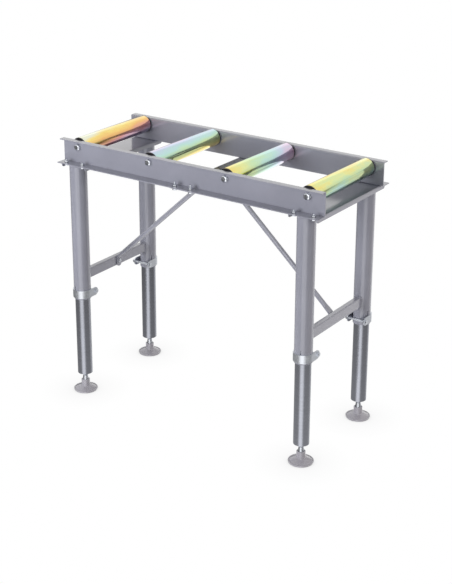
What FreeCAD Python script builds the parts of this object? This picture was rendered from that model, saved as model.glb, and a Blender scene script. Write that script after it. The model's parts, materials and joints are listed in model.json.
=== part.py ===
import FreeCAD, Part
import math
import os
import types

import Sketcher

# Roller conveyor section in millimetres.
# The origin lies on the floor under the middle, +X runs along the rails, +Z is up and the front is -Y.

Vector = FreeCAD.Vector
Rotation = FreeCAD.Rotation

# Driving sizes: name, value, what it measures
SIZES = [
    ("rail_length", 1000, "length of both side rails"),
    ("bed_width", 352, "clear width between the two webs"),
    ("rail_height", 79, "height of the rail channel"),
    ("rail_sheet", 3, "sheet of the rail"),
    ("rail_top_flange", 24, "top flange, from the inner face of the web"),
    ("rail_bottom_flange", 40, "bottom flange, from the inner face of the web"),
    ("rail_bend", 0.8, "inner bend radius of the rail"),
    ("roller_end_margin", 60, "outer roller axis from the end of the rails"),
    ("roller_diameter", 60, "outside of the roller tube"),
    ("roller_wall", 2.5, "wall of the roller tube"),
    ("roller_axis_depth", 24, "roller axis below the top of the rails"),
    ("roller_end_gap", 3, "end cap to web"),
    ("cap_flange", 3, "flange of the end cap outside the tube"),
    ("cap_wall", 3.5, "end cap between tube and bearing"),
    ("cap_rounding", 1.2, "rounded rim of the end cap"),
    ("axle_diameter", 20, "roller axle"),
    ("axle_bolt_diameter", 12, "bolt in the axle end"),
    ("axle_bolt_depth", 24, "bolt length inside the axle"),
    ("axle_washer_sheet", 2.5, "spring washer under the axle bolt"),
    ("axle_washer_split", 2, "split of the spring washer"),
    ("bearing_width", 12, "bearing width"),
    ("bearing_inner_ring", 3.2, "radial section of the inner ring"),
    ("bolt_diameter", 8, "bolts of rails, braces and clamps"),
    ("bolt_tail", 3.5, "thread standing out of the nut"),
    ("centre_bolt_tail", 9, "thread standing out of the nut of a centre bolt"),
    ("bolt_play", 0.5, "radial play of a bolt in its hole"),
    ("head_width", 100, "leg head along the rail"),
    ("head_depth", 14, "height of the leg head"),
    ("head_sheet", 3, "sheet of the leg head"),
    ("head_bend", 0.8, "inner bend radius of the leg head"),
    ("head_setback", 10, "end of the leg head behind the flange edge"),
    ("head_corner", 7, "rounded lower corner of the leg head"),
    ("head_bolt_spread", 34, "rail bolt from the leg axis along the rail"),
    ("rail_bolt_inset", 24, "rail bolt from the inner face of the web"),
    ("centre_width", 88, "centre bar along the rail"),
    ("centre_sheet", 5, "thickness of the centre bar"),
    ("centre_bolt_spread", 30, "centre bolt from the middle"),
    ("leg_outset", 6, "leg axis outside the inner face of the web"),
    ("leg_diameter", 58, "upper leg tube"),
    ("leg_wall", 3, "wall of the upper leg tube"),
    ("upper_tube_length", 473, "length of the upper leg tube"),
    ("sleeve_end_height", 346, "lower end of the upper leg tube above the floor"),
    ("slit_width", 3, "slit in the tube end"),
    ("slit_length", 47, "length of the slit"),
    ("strap_height", 28, "height of the clamp strap"),
    ("strap_sheet", 3, "sheet of the clamp strap"),
    ("strap_lift", 5, "strap above the tube end"),
    ("clamp_bolt_gap", 0.5, "clamp bolt to the tube"),
    ("ear_tip", 9, "clamp bolt to the tip of the strap"),
    ("slide_gap", 0.4, "radial gap of the sliding tubes"),
    ("inner_wall", 2.5, "wall of the lower leg tube"),
    ("inner_end_height", 66, "lower end of the lower leg tube above the floor"),
    ("inner_overlap", 150, "lower leg tube inside the upper one"),
    ("plug_length", 30, "threaded plug in the lower leg tube"),
    ("stretcher_height", 35, "height of the stretcher"),
    ("stretcher_width", 20, "width of the stretcher"),
    ("stretcher_wall", 2, "wall of the stretcher"),
    ("stretcher_corner", 1.5, "inner corner radius of the stretcher"),
    ("stretcher_lift", 62, "stretcher above the end of the upper leg tube"),
    ("brace_diameter", 16, "tube of the brace"),
    ("brace_tab_width", 23, "flattened end of the brace"),
    ("brace_tab_sheet", 5, "thickness of the flattened end"),
    ("brace_tab_edge", 15, "upper bolt to the tip of the flattened end"),
    ("brace_tab_rise", 21, "upper bolt to the bend"),
    ("brace_foot_edge", 20, "lower bolt to the tip of the flattened end"),
    ("brace_foot_rise", 14, "lower bolt to the bend"),
    ("brace_bend", 10, "bend radius of the flattened end"),
    ("brace_taper", 32, "length over which the tube is flattened"),
    ("pad_diameter", 82, "foot pad"),
    ("pad_rim_height", 6, "rim of the foot pad"),
    ("pad_rim_width", 3.5, "width of the rim"),
    ("pad_groove", 1.5, "step inside the rim"),
    ("pad_cone_height", 20, "top of the low cone"),
    ("pad_rounding", 2, "rounded rim of the pad"),
    ("hub_height", 38, "top of the hub"),
    ("hub_wall", 6.5, "hub around the stud"),
    ("stud_diameter", 16, "foot stud"),
    ("ball_extra", 3, "ball of the stud beyond its shank"),
    ("collar_extra", 2.4, "conical collar of the stud beyond its shank"),
    ("collar_height", 17, "height of the collar"),
    ("collar_sink", 2, "collar inside the mouth of the hub"),
    ("pad_floor", 4, "pad under the ball"),
    ("stud_reserve", 15, "stud above the plug"),
    ("run_gap", 0.3, "gap between pieces that move past each other"),
    ("fit_gap", 0.05, "gap between pieces fitted together"),
]

doc = FreeCAD.newDocument("roller_conveyor")
sheet = doc.addObject("Spreadsheet::Sheet", "sizes")


class Size:
    """A length that carries its sheet formula beside its number."""

    def __init__(self, formula, number):
        self.formula = formula
        self.number = number

    def __add__(self, other):
        other = as_size(other)
        return Size(f"({self.formula} + {other.formula})", self.number + other.number)

    def __sub__(self, other):
        other = as_size(other)
        return Size(f"({self.formula} - {other.formula})", self.number - other.number)

    def __mul__(self, other):
        other = as_size(other)
        return Size(f"({self.formula} * {other.formula})", self.number * other.number)

    def __truediv__(self, other):
        other = as_size(other)
        return Size(f"({self.formula} / {other.formula})", self.number / other.number)

    def __radd__(self, other):
        return as_size(other) + self

    def __rsub__(self, other):
        return as_size(other) - self

    def __rmul__(self, other):
        return as_size(other) * self

    def __neg__(self):
        return as_size(0) - self


def as_size(item):
    if isinstance(item, Size):
        return item
    return Size(f"{item:.6f}", float(item))


def least(first, second):
    return Size(f"min({first.formula}; {second.formula})", min(first.number, second.number))


def sheet_sizes():
    """Fill the sheet and give its cells back as named sizes."""
    named = {}
    for row, (alias, value, note) in enumerate(SIZES, 1):
        sheet.set(f"A{row}", note)
        sheet.set(f"B{row}", str(value))
        sheet.setAlias(f"B{row}", alias)
    doc.recompute()
    for alias, value, note in SIZES:
        named[alias] = Size(f"sizes.{alias}", float(sheet.get(alias)))
    return types.SimpleNamespace(**named)


S = sheet_sizes()
NODES = []


def node(item, label):
    """Mark a document object as a finished sub-part."""
    item.Label = label
    NODES.append(item)
    return item


def bind(item, path, size):
    item.setExpression(path, as_size(size).formula)


def seat(item, place):
    for name, size in zip("xyz", place):
        bind(item, f"Placement.Base.{name}", size)


TURNS = {
    "+z": Rotation(),
    "+x": Rotation(Vector(0, 1, 0), 90),
    "-x": Rotation(Vector(0, 1, 0), -90),
    "+y": Rotation(Vector(1, 0, 0), -90),
    "-y": Rotation(Vector(1, 0, 0), 90),
    "-z": Rotation(Vector(1, 0, 0), 180),
}


def primitive(kind, name, sizes, place, way="+z"):
    item = doc.addObject(kind, name)
    item.Placement = FreeCAD.Placement(Vector(), TURNS[way])
    for path, size in sizes.items():
        bind(item, path, size)
    seat(item, place)
    return item


def rod(name, radius, length, place, way="+z"):
    return primitive("Part::Cylinder", name, {"Radius": radius, "Height": length}, place, way)


def block(name, length, width, height, place):
    return primitive("Part::Box", name, {"Length": length, "Width": width, "Height": height}, place)


def hexagon(name, diameter, length, place, way):
    """Hexagon prism for the head or nut of a bolt."""
    item = primitive("Part::Prism", name, {"Circumradius": 0.93 * diameter, "Height": length}, place, way)
    item.Polygon = 6
    return item


def cut(name, base, tools):
    item = doc.addObject("Part::Cut", name)
    item.Base = base
    item.Tool = tools[0] if len(tools) == 1 else group(name + "_tools", tools)
    return item


def fuse(name, pieces):
    item = doc.addObject("Part::MultiFuse", name)
    item.Shapes = pieces
    item.Refine = True
    return item


def group(name, pieces):
    item = doc.addObject("Part::Compound", name)
    item.Links = pieces
    return item


def ring(name, outer, inner, length, place, way="+z"):
    return cut(name, rod(name + "_outside", outer, length, place, way),
               [rod(name + "_bore", inner, length, place, way)])


def shifted(place, way, distance):
    """A place moved along one of the named ways."""
    step = {"x": 0, "y": 1, "z": 2}[way[1]]
    moved = list(place)
    moved[step] = moved[step] + distance if way[0] == "+" else moved[step] - distance
    return tuple(moved)


OPPOSITE = {"+x": "-x", "-x": "+x", "+y": "-y", "-y": "+y"}


def bolt(name, diameter, length, place, way, head_way):
    """Hexagon bolt whose shank starts under its head at the place."""
    shank = rod(name + "_shank", diameter / 2, length, place, way)
    if way == "+z":
        head_place = shifted(place, "+z", -(0.66 * diameter))
        head = hexagon(name + "_head", diameter, 0.66 * diameter, head_place, "+z")
    else:
        head = hexagon(name + "_head", diameter, 0.66 * diameter, place, head_way)
    return fuse(name, [shank, head])


def nut(name, diameter, place, way):
    height = 0.8 * diameter
    body = hexagon(name + "_body", diameter, height, place, way)
    return cut(name, body, [rod(name + "_bore", diameter / 2 + S.fit_gap, height, place, way)])


def new_body(name):
    return doc.addObject("PartDesign::Body", name)


def origin_item(body, role):
    for item in body.Origin.OriginFeatures:
        if item.Role == role:
            return item
    raise ValueError(role)


def sketch_on(body, role, name):
    sketch = body.newObject("Sketcher::SketchObject", name)
    sketch.AttachmentSupport = [(origin_item(body, role), "")]
    sketch.MapMode = "FlatFace"
    return sketch


def set_spot(sketch, index, end, spot):
    for kind, size in zip(("DistanceX", "DistanceY"), spot):
        size = as_size(size)
        number = sketch.addConstraint(Sketcher.Constraint(kind, index, end, size.number))
        if size.formula.find("sizes.") >= 0:
            sketch.setExpression(f"Constraints[{number}]", size.formula)


def outline(sketch, corners):
    """Closed straight-sided outline whose corners follow the sheet."""
    spots = [Vector(as_size(u).number, as_size(v).number, 0) for u, v in corners]
    count = len(spots)
    lines = []
    for index in range(count):
        lines.append(sketch.addGeometry(Part.LineSegment(spots[index], spots[(index + 1) % count])))
    for index in range(count):
        following = lines[(index + 1) % count]
        sketch.addConstraint(Sketcher.Constraint("Coincident", lines[index], 2, following, 1))
    for line, spot in zip(lines, corners):
        set_spot(sketch, line, 1, spot)


def circle(sketch, radius):
    number = sketch.addGeometry(Part.Circle(Vector(), Vector(0, 0, 1), radius.number))
    sketch.addConstraint(Sketcher.Constraint("Coincident", number, 3, -1, 1))
    constraint = sketch.addConstraint(Sketcher.Constraint("Radius", number, radius.number))
    sketch.setExpression(f"Constraints[{constraint}]", radius.formula)


def pad(body, sketch, length):
    item = body.newObject("PartDesign::Pad", sketch.Name + "_pad")
    item.Profile = sketch
    bind(item, "Length", length)
    doc.recompute()
    return item


def revolved(body, sketch):
    """Full turn about the sketch's upright axis."""
    item = body.newObject("PartDesign::Revolution", sketch.Name + "_turned")
    item.Profile = sketch
    item.ReferenceAxis = (sketch, ["V_Axis"])
    item.Angle = 360
    doc.recompute()
    return item


def edge_names(shape, test):
    """Names of the edges whose two ends and middle pass the test."""
    names = []
    for number, edge in enumerate(shape.Edges, 1):
        middle = edge.valueAt((edge.FirstParameter + edge.LastParameter) / 2)
        points = [vertex.Point for vertex in edge.Vertexes] + [middle]
        if all(test(point) for point in points):
            names.append(f"Edge{number}")
    return names


def near(first, second):
    return abs(first - as_size(second).number) < 0.01


def rounded(body, base, names, radius, name):
    item = body.newObject("PartDesign::Fillet", name)
    item.Base = (base, names)
    bind(item, "Radius", radius)
    doc.recompute()
    return item


# Shared positions
rail_base = S.sleeve_end_height + S.upper_tube_length + S.head_sheet
rail_top = rail_base + S.rail_height
roller_height = rail_top - S.roller_axis_depth
web_inner = S.bed_width / 2
web_outer = web_inner + S.rail_sheet
roller_pitch = (S.rail_length - 2 * S.roller_end_margin) / 3
leg_x = 1.5 * roller_pitch
leg_y = web_inner + S.leg_outset
leg_radius = S.leg_diameter / 2
inner_radius = leg_radius - S.leg_wall - S.slide_gap
member_length = S.bed_width + 2 * (S.rail_bottom_flange - S.head_setback)
rail_bolt_y = web_inner + S.rail_bolt_inset
stretcher_middle = S.sleeve_end_height + S.stretcher_lift + S.stretcher_height / 2
stretcher_inner = leg_x - S.stretcher_width / 2
centre_under = rail_base - S.centre_sheet
hole_radius = S.bolt_diameter / 2 + S.bolt_play

ROLLERS = [(1, -1.5), (2, -0.5), (3, 0.5), (4, 1.5)]
SIDES = [("front", -1), ("rear", 1)]
ENDS = [("left", -1), ("right", 1)]
LEGS = [(side, end, end_sign * leg_x, side_sign * leg_y, side_sign)
        for side, side_sign in SIDES for end, end_sign in ENDS]
RAIL_BOLT_X = [end_sign * leg_x + sign * S.head_bolt_spread for end, end_sign in ENDS for sign in (-1, 1)]
CENTRE_BOLT_X = [sign * S.centre_bolt_spread for sign in (-1, 1)]


# Side rails: bent channels with both flanges outward
def rail(label, sign):
    body = new_body(label + "_channel")
    sketch = sketch_on(body, "YZ_Plane", label + "_profile")
    sheet_u = sign * S.rail_sheet
    lower_u = sign * S.rail_bottom_flange
    upper_u = sign * S.rail_top_flange
    under_top = S.rail_height - S.rail_sheet
    outline(sketch, [(0, 0), (lower_u, 0), (lower_u, S.rail_sheet), (sheet_u, S.rail_sheet),
                     (sheet_u, under_top), (upper_u, under_top), (upper_u, S.rail_height), (0, S.rail_height)])
    base = pad(body, sketch, S.rail_length)
    inner = edge_names(base.Shape, lambda p: near(p.y, sheet_u) and (near(p.z, S.rail_sheet) or near(p.z, under_top)))
    bent = rounded(body, base, inner, S.rail_bend, label + "_inner_bends")
    outer = edge_names(bent.Shape, lambda p: near(p.y, 0) and (near(p.z, 0) or near(p.z, S.rail_height)))
    rounded(body, bent, outer, S.rail_bend + S.rail_sheet, label + "_outer_bends")
    seat(body, (-(S.rail_length / 2), sign * web_inner, rail_base))
    way = "+y" if sign > 0 else "-y"
    holes = []
    for number, step in ROLLERS:
        place = (step * roller_pitch, sign * (web_inner - S.rail_sheet), roller_height)
        radius = S.axle_bolt_diameter / 2 + S.bolt_play
        holes.append(rod(f"{label}_axle_hole_{number}", radius, 3 * S.rail_sheet, place, way))
    for number, x in enumerate(RAIL_BOLT_X + CENTRE_BOLT_X, 1):
        place = (x, sign * rail_bolt_y, rail_base - S.rail_sheet)
        holes.append(rod(f"{label}_bolt_hole_{number}", hole_radius, 3 * S.rail_sheet, place))
    node(cut(label + "_drilled", body, holes), label)


for side, side_sign in SIDES:
    rail(side + "_rail", side_sign)


# Leg heads: bent channels open below, across both rails
def leg_head(label, middle, width, depth, corner, bolt_x):
    body = new_body(label + "_channel")
    sketch = sketch_on(body, "XZ_Plane", label + "_profile")
    half = width / 2
    inside = half - S.head_sheet
    outline(sketch, [(-half, -depth), (-half, 0), (half, 0), (half, -depth), (inside, -depth),
                     (inside, -S.head_sheet), (-inside, -S.head_sheet), (-inside, -depth)])
    base = pad(body, sketch, member_length)
    inner = edge_names(base.Shape, lambda p: near(abs(p.x), inside) and near(p.z, -S.head_sheet))
    bent = rounded(body, base, inner, S.head_bend, label + "_inner_bends")
    outer = edge_names(bent.Shape, lambda p: near(abs(p.x), half) and near(p.z, 0))
    shaped = rounded(body, bent, outer, S.head_bend + S.head_sheet, label + "_outer_bends")
    tips = edge_names(shaped.Shape, lambda p: near(p.z, -depth) and (near(p.y, 0) or near(p.y, -member_length)))
    rounded(body, shaped, tips, corner, label + "_corners")
    seat(body, (middle, member_length / 2, rail_base))
    holes = []
    for number, x in enumerate(bolt_x, 1):
        for side, side_sign in SIDES:
            place = (x, side_sign * rail_bolt_y, rail_base - 2 * S.head_sheet)
            holes.append(rod(f"{label}_{side}_hole_{number}", hole_radius, 3 * S.head_sheet, place))
    node(cut(label + "_drilled", body, holes), label)


head_corner = least(S.head_corner, 0.6 * S.head_depth)
for end, end_sign in ENDS:
    head_bolts = [end_sign * leg_x + sign * S.head_bolt_spread for sign in (-1, 1)]
    leg_head(end + "_leg_head", end_sign * leg_x, S.head_width, S.head_depth, head_corner, head_bolts)


# Centre bar: flat tie under both rails, with one more hole for the braces
def centre_bar(label):
    bar = block(label + "_flat", S.centre_width, member_length, S.centre_sheet,
                (-(S.centre_width / 2), -(member_length / 2), centre_under))
    spots = [(x, side_sign * rail_bolt_y) for x in CENTRE_BOLT_X for side, side_sign in SIDES]
    spots.append((as_size(0), as_size(0)))
    holes = []
    for number, (x, y) in enumerate(spots, 1):
        place = (x, y, centre_under - S.centre_sheet)
        holes.append(rod(f"{label}_hole_{number}", hole_radius, 3 * S.centre_sheet, place))
    node(cut(label + "_drilled", bar, holes), label)


centre_bar("centre_bar")


# Upper leg tubes, slit three times at the lower end so that the strap can close them.
# Each is welded on turned by its own angle, in degrees.
LEG_TURNS = {"front_left": -14, "front_right": 14, "rear_left": 2, "rear_right": 10}


def upper_leg(label, x, y, sign, turn):
    body = new_body(label + "_body")
    body.Placement = FreeCAD.Placement(Vector(), Rotation(Vector(0, 0, 1), turn))
    sketch = sketch_on(body, "XY_Plane", label + "_profile")
    circle(sketch, leg_radius)
    circle(sketch, leg_radius - S.leg_wall)
    pad(body, sketch, S.upper_tube_length)
    slit = sketch_on(body, "XY_Plane", label + "_slit_profile")
    half = S.slit_width / 2
    reach = sign * (leg_radius + S.leg_wall)
    outline(slit, [(-half, 0), (half, 0), (half, reach), (-half, reach)])
    pocket = body.newObject("PartDesign::Pocket", label + "_slit")
    pocket.Profile = slit
    pocket.Reversed = True
    bind(pocket, "Length", S.slit_length)
    doc.recompute()
    pattern = body.newObject("PartDesign::PolarPattern", label + "_slits")
    pattern.Originals = [pocket]
    pattern.Axis = (origin_item(body, "Z_Axis"), [""])
    pattern.Angle = 360
    pattern.Occurrences = 3
    body.Tip = pattern
    seat(body, (x, y, S.sleeve_end_height))
    node(body, label)


for side, end, x, y, side_sign in LEGS:
    upper_leg(f"upper_leg_{side}_{end}", x, y, side_sign, LEG_TURNS[f"{side}_{end}"])


# Stretchers: rectangular tubes coped to the leg tubes
def stretcher(label, x, sign):
    body = new_body(label + "_tube")
    sketch = sketch_on(body, "XZ_Plane", label + "_profile")
    half_u = S.stretcher_width / 2
    half_v = S.stretcher_height / 2
    inside_u = half_u - S.stretcher_wall
    inside_v = half_v - S.stretcher_wall
    for u, v in ((half_u, half_v), (inside_u, inside_v)):
        outline(sketch, [(-u, -v), (u, -v), (u, v), (-u, v)])
    base = pad(body, sketch, 2 * leg_y)
    inner = edge_names(base.Shape, lambda p: near(abs(p.x), inside_u) and near(abs(p.z), inside_v))
    bent = rounded(body, base, inner, S.stretcher_corner, label + "_inner_corners")
    outer = edge_names(bent.Shape, lambda p: near(abs(p.x), half_u) and near(abs(p.z), half_v))
    rounded(body, bent, outer, S.stretcher_corner + S.stretcher_wall, label + "_outer_corners")
    seat(body, (x, leg_y, stretcher_middle))
    tools = []
    for side, side_sign in SIDES:
        place = (x, side_sign * leg_y, stretcher_middle - S.stretcher_height)
        tools.append(rod(f"{label}_{side}_cope", leg_radius + S.fit_gap, 2 * S.stretcher_height, place))
    place = (x, as_size(0), stretcher_middle)
    tools.append(rod(label + "_bolt_hole", hole_radius, S.stretcher_width, place, "-x" if sign > 0 else "+x"))
    node(cut(label + "_coped", body, tools), label)


for end, end_sign in ENDS:
    stretcher(end + "_stretcher", end_sign * leg_x, end_sign)


# Braces: round tube, flattened and bent at both ends. The lower tab lies upright on the stretcher,
# and the upper tabs of both braces lie level under the centre bar, one below the other, on one bolt.
def left_of(way):
    return Vector(-way.z, 0, way.x)


def bent_tab(bolt_spot, corner, along, edge_size):
    """Flat bent end from its tip to where the tube begins to round out."""
    half = S.brace_tab_sheet.number / 2
    width = S.brace_tab_width.number
    bend = S.brace_bend.number
    start_way = (corner - bolt_spot).normalize()
    tangent = bend * math.tan(along.getAngle(start_way) / 2)
    tip = bolt_spot - start_way * edge_size.number
    first = corner - start_way * tangent
    second = corner + along * tangent
    last = second + along * half
    hand = 1 if left_of(start_way).dot(along) > 0 else -1
    start_side = left_of(start_way) * hand
    end_side = left_of(along) * hand
    centre = first + start_side * bend
    middle_way = (corner - centre).normalize()
    inner = [tip + start_side * half, first + start_side * half, centre + middle_way * (bend - half),
             second + end_side * half, last + end_side * half]
    outer = [tip - start_side * half, first - start_side * half, centre + middle_way * (bend + half),
             second - end_side * half, last - end_side * half]
    edges = [Part.makeLine(inner[0], inner[1]), Part.Arc(inner[1], inner[2], inner[3]).toShape(),
             Part.makeLine(inner[3], inner[4]), Part.makeLine(inner[4], outer[4]),
             Part.makeLine(outer[4], outer[3]), Part.Arc(outer[3], outer[2], outer[1]).toShape(),
             Part.makeLine(outer[1], outer[0]), Part.makeLine(outer[0], inner[0])]
    face = Part.Face(Part.Wire(edges))
    face.translate(Vector(0, -width / 2, 0))
    strip = face.extrude(Vector(0, width, 0))
    tips = [edge for edge in strip.Edges
            if all(abs((vertex.Point - tip).dot(start_way)) < 0.01 for vertex in edge.Vertexes)
            and abs(edge.Vertexes[0].Point.y - edge.Vertexes[1].Point.y) < 0.01]
    return strip.makeFillet(0.47 * width, tips), last


def taper(spot, along):
    """From the flat section to the round one."""
    side = left_of(along)
    across = Vector(0, 1, 0)
    far = spot + along * S.brace_taper.number
    half_width = S.brace_tab_width.number / 2
    half_sheet = S.brace_tab_sheet.number / 2
    radius = S.brace_diameter.number / 2
    signs = [(1, 1), (-1, 1), (-1, -1), (1, -1)]
    flats = [spot + across * (a * half_width) + side * (b * half_sheet) for a, b in signs]
    rect = Part.makePolygon(flats + flats[:1])
    lean = math.radians(35)
    rounds = [far + across * (a * radius * math.cos(lean)) + side * (b * radius * math.sin(lean)) for a, b in signs]
    tops = [far + side * radius, far - across * radius, far - side * radius, far + across * radius]
    arcs = [Part.Arc(rounds[i], tops[i], rounds[(i + 1) % 4]).toShape() for i in range(4)]
    return Part.makeLoft([rect, Part.Wire(arcs)], True, True), far


def brace_shape(layer):
    """Brace on the +X side; its upper tab lies in the given layer under the centre bar."""
    tab = S.brace_tab_sheet.number
    low_bolt = Vector(stretcher_inner.number - tab / 2, 0, stretcher_middle.number)
    high_bolt = Vector(0, 0, centre_under.number - (layer + 0.5) * tab)
    low_corner = low_bolt + Vector(0, 0, S.brace_foot_rise.number)
    high_corner = high_bolt + Vector(S.brace_tab_rise.number, 0, 0)
    along = (high_corner - low_corner).normalize()
    low_tab, low_spot = bent_tab(low_bolt, low_corner, along, S.brace_foot_edge)
    high_tab, high_spot = bent_tab(high_bolt, high_corner, -along, S.brace_tab_edge)
    low_taper, low_far = taper(low_spot, along)
    high_taper, high_far = taper(high_spot, -along)
    tube = Part.makeCylinder(S.brace_diameter.number / 2, (high_far - low_far).Length, low_far, along)
    shape = low_tab.fuse([low_taper, tube, high_taper, high_tab]).removeSplitter()
    for spot, way in ((low_bolt, Vector(1, 0, 0)), (high_bolt, Vector(0, 0, 1))):
        shape = shape.cut(Part.makeCylinder(hole_radius.number, 2 * tab, spot - way * tab, way))
    return shape.Solids[0]


for layer, (end, end_sign) in enumerate(ENDS):
    item = doc.addObject("Part::Feature", end + "_brace_tube")
    item.Shape = brace_shape(layer)
    item.Placement = FreeCAD.Placement(Vector(), Rotation(Vector(0, 0, 1), 0 if end_sign > 0 else 180))
    node(item, end + "_brace")


# Clamp straps: a bent strip round the outer half of the tube, with two straight ears and one bolt
strap_inner = leg_radius + S.fit_gap
strap_outer = strap_inner + S.strap_sheet
strap_base = S.sleeve_end_height + S.strap_lift
clamp_bolt_reach = leg_radius + S.bolt_diameter / 2 + S.clamp_bolt_gap
ear_reach = clamp_bolt_reach + S.ear_tip


def clamp_strap(label, x, y, sign):
    ear_y = y if sign < 0 else y - ear_reach
    core_y = y if sign < 0 else y - ear_reach - S.strap_sheet
    core_z = strap_base - S.strap_height
    outside = fuse(label + "_outside", [
        rod(label + "_bow", strap_outer, S.strap_height, (x, y, strap_base)),
        block(label + "_ears", 2 * strap_outer, ear_reach, S.strap_height, (x - strap_outer, ear_y, strap_base))])
    inside = fuse(label + "_inside", [
        rod(label + "_bore", strap_inner, 3 * S.strap_height, (x, y, core_z)),
        block(label + "_throat", 2 * strap_inner, ear_reach + S.strap_sheet, 3 * S.strap_height,
              (x - strap_inner, core_y, core_z))])
    strip = cut(label + "_strip", outside, [inside])
    doc.recompute()
    tip_y = y - sign * ear_reach
    low, high = strap_base, strap_base + S.strap_height
    names = edge_names(strip.Shape, lambda p: near(p.y, tip_y) and (near(p.z, low) or near(p.z, high)))
    radius = 0.47 * S.strap_height.number
    tips = doc.addObject("Part::Fillet", label + "_tips")
    tips.Base = strip
    tips.Edges = [(int(name[4:]), radius, radius) for name in names]
    place = (x - 2 * strap_outer, y - sign * clamp_bolt_reach, strap_base + S.strap_height / 2)
    hole = rod(label + "_bolt_hole", hole_radius, 4 * strap_outer, place, "+x")
    node(cut(label + "_drilled", tips, [hole]), label)


for side, end, x, y, side_sign in LEGS:
    clamp_strap(f"clamp_strap_{side}_{end}", x, y, side_sign)


# Hardware of the frame, one node for each kind
def hardware(label, pieces):
    node(group(label + "_set", pieces), label)


clamp_bolts = []
clamp_nuts = []
for side, end, x, y, side_sign in LEGS:
    bolt_y = y - side_sign * clamp_bolt_reach
    bolt_z = strap_base + S.strap_height / 2
    tail = 2 * strap_outer + 0.8 * S.bolt_diameter + S.bolt_tail
    clamp_bolts.append(bolt(f"clamp_bolt_{side}_{end}", S.bolt_diameter, tail,
                            (x + strap_outer, bolt_y, bolt_z), "-x", "+x"))
    clamp_nuts.append(nut(f"clamp_nut_{side}_{end}", S.bolt_diameter, (x - strap_outer, bolt_y, bolt_z), "-x"))
hardware("clamp_bolts", clamp_bolts)
hardware("clamp_nuts", clamp_nuts)

rail_bolts = []
rail_nuts = []
rail_bolt_spots = [(x, S.head_sheet, S.bolt_tail) for x in RAIL_BOLT_X]
rail_bolt_spots += [(x, S.centre_sheet, S.centre_bolt_tail) for x in CENTRE_BOLT_X]
for number, (x, under, tail) in enumerate(rail_bolt_spots, 1):
    for side, side_sign in SIDES:
        y = side_sign * rail_bolt_y
        grip = under + S.rail_sheet + 0.8 * S.bolt_diameter + tail
        rail_bolts.append(bolt(f"rail_bolt_{side}_{number}", S.bolt_diameter, grip,
                               (x, y, rail_base - under), "+z", "+z"))
        rail_nuts.append(nut(f"rail_nut_{side}_{number}", S.bolt_diameter, (x, y, rail_base + S.rail_sheet), "+z"))
hardware("rail_bolts", rail_bolts)
hardware("rail_nuts", rail_nuts)

# The lower brace nuts are welded inside the stretchers
brace_bolts = []
brace_nuts = []
for end, end_sign in ENDS:
    outward = "+x" if end_sign > 0 else "-x"
    inward = OPPOSITE[outward]
    low_start = (end_sign * (stretcher_inner - S.brace_tab_sheet), as_size(0), stretcher_middle)
    low_grip = S.brace_tab_sheet + S.stretcher_wall + 0.8 * S.bolt_diameter + S.bolt_tail
    brace_bolts.append(bolt(f"brace_bolt_low_{end}", S.bolt_diameter, low_grip, low_start, outward, inward))
    low_nut = (end_sign * (stretcher_inner + S.stretcher_wall), as_size(0), stretcher_middle)
    brace_nuts.append(nut(f"brace_nut_low_{end}", S.bolt_diameter, low_nut, outward))
middle_spot = (as_size(0), as_size(0), rail_base)
middle_grip = S.centre_sheet + 2 * S.brace_tab_sheet + 0.8 * S.bolt_diameter + S.bolt_tail
brace_bolts.append(bolt("brace_bolt_middle", S.bolt_diameter, middle_grip, middle_spot, "-z", "+z"))
middle_nut = (as_size(0), as_size(0), centre_under - 2 * S.brace_tab_sheet)
brace_nuts.append(nut("brace_nut_middle", S.bolt_diameter, middle_nut, "-z"))
hardware("brace_bolts", brace_bolts)
hardware("brace_nuts", brace_nuts)


# Rollers: fixed axle, sealed bearings, end caps and tube
axle_radius = S.axle_diameter / 2
roller_radius = S.roller_diameter / 2
tube_bore = roller_radius - S.roller_wall
bearing_outer = tube_bore - S.cap_wall
cap_face = web_inner - S.roller_end_gap
bearing_face = cap_face - S.cap_flange
inner_ring_outer = axle_radius + S.bearing_inner_ring
axle_bolts = []
axle_washers = []
inner_rings = []


def end_cap(name, x, sign):
    """Bearing housing with a rounded flange over the tube end."""
    body = new_body(name)
    sketch = sketch_on(body, "XY_Plane", name + "_profile")
    hole = inner_ring_outer + S.run_gap
    rim = roller_radius - S.fit_gap
    spigot = tube_bore - S.fit_gap
    shelf = -sign * S.cap_flange
    foot = -sign * (S.cap_flange + S.bearing_width + S.cap_wall / 2)
    outline(sketch, [(hole, 0), (rim, 0), (rim, shelf), (spigot, shelf), (spigot, foot),
                     (bearing_outer, foot), (bearing_outer, shelf), (hole, shelf)])
    base = revolved(body, sketch)
    names = edge_names(base.Shape, lambda p: near(p.y, 0) and near(math.hypot(p.x, p.z), rim))
    rounded(body, base, names, least(S.cap_rounding, 0.6 * S.cap_flange), name + "_rim")
    seat(body, (x, sign * cap_face, roller_height))
    return body


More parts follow.
